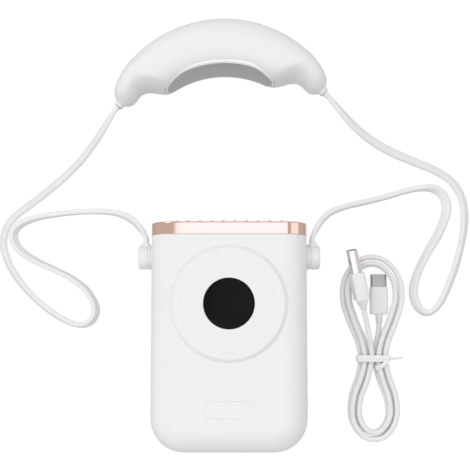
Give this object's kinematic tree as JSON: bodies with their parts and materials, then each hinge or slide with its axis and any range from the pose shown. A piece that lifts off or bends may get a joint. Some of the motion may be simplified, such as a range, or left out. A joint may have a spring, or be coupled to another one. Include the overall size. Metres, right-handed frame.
{
  "type": "neck fan",
  "caption": "Hand-sized blower fan on two flat leads from a cooled neck pad, laid out flat with its charging cable tied in a hank.",
  "frame": {"origin": "point of the housing's flat back face half way along the housing (outlet rim to bottom edge), on its centre line", "axes": "+X to the right and +Y towards the air outlet and the neck pad, seen from the front; +Z out of the front, with the back lying on z = 0"},
  "size_m": [0.2466, 0.2235, 0.036],
  "materials": {
    "white_shell": "fine satin",
    "white_trim": "satin to gloss",
    "rose_gold": "plated, satin rose gold",
    "black_window": "high gloss",
    "dark_plastic": "moulded",
    "circuit_board": "solder mask",
    "clear_grey": "moulded",
    "grey_plastic": "moulded",
    "bright_steel": "bright",
    "copper_winding": "enamelled wire",
    "battery_foil": "laminated pouch",
    "black_foam": "closed-cell foam",
    "white_silicone": "soft matte",
    "polished_aluminium": "polished bevel",
    "brushed_aluminium": "satin",
    "white_ceramic": "ceramic",
    "white_cable": "soft satin",
    "clear_tie": "paper-backed wire",
    "nickel": "nickel plate"
  },
  "bodies": {
    "root": {"front_shell": "white_shell", "back_shell": "white_shell", "top_trim": "rose_gold", "outlet_grille": "white_trim", "intake_guard": "white_trim", "front_disc": "white_trim", "display_window": "black_window", "display_module": "dark_plastic", "display_board": "circuit_board", "scroll_case": "clear_grey", "scroll_lid": "clear_grey", "motor_bearings": "bright_steel", "motor_stator": "copper_winding", "motor_base": "dark_plastic", "battery": "battery_foil", "battery_pad": "black_foam", "main_board": "circuit_board", "usb_c_socket": "bright_steel", "tact_switches": "dark_plastic", "case_screws": "bright_steel", "board_screws": "bright_steel", "left_strap": "white_silicone", "right_strap": "white_silicone", "left_boot": "white_silicone", "right_boot": "white_silicone", "pad_shell": "white_silicone", "plate_bezel": "polished_aluminium", "cold_plate": "brushed_aluminium", "cooler_chip": "white_ceramic", "heat_sink": "brushed_aluminium", "sink_screws": "bright_steel", "pad_board": "circuit_board", "cable_hank": "white_cable", "cable_tie": "clear_tie", "usb_a_shell": "nickel", "usb_a_body": "white_cable", "usb_a_relief": "white_cable", "usb_c_tip": "nickel", "usb_c_body": "white_cable", "usb_c_relief": "white_cable"},
    "blower_rotor": {"impeller": "grey_plastic", "rotor_can": "bright_steel", "motor_shaft": "bright_steel"},
    "power_key": {"power_button": "white_trim"},
    "cooling_key": {"cooling_button": "white_trim"},
    "left_swivel": {"left_knuckle": "white_trim", "left_clip": "bright_steel"},
    "right_swivel": {"right_knuckle": "white_trim", "right_clip": "bright_steel"}
  },
  "joints": [
    {"name": "impeller_spin", "type": "hinge", "parent": "root", "child": "blower_rotor", "pos_m": [0, 0.0163, 0.01], "axis": [0, 0, 1], "continuous": true},
    {"name": "power_press", "type": "slide", "parent": "root", "child": "power_key", "axis": [-1, 0, 0], "range_m": [0, 0.0006], "stiffness_N_per_m": 1500},
    {"name": "cooling_press", "type": "slide", "parent": "root", "child": "cooling_key", "axis": [-1, 0, 0], "range_m": [0, 0.0006], "stiffness_N_per_m": 1500},
    {"name": "left_knuckle_turn", "type": "hinge", "parent": "root", "child": "left_swivel", "pos_m": [-0.0435, 0.041, 0.017], "axis": [1, 0, 0], "range_deg": [-60, 60], "deforming": ["left_strap"]},
    {"name": "right_knuckle_turn", "type": "hinge", "parent": "root", "child": "right_swivel", "pos_m": [0.0435, 0.041, 0.017], "axis": [1, 0, 0], "range_deg": [-60, 60], "deforming": ["right_strap"]}
  ]
}
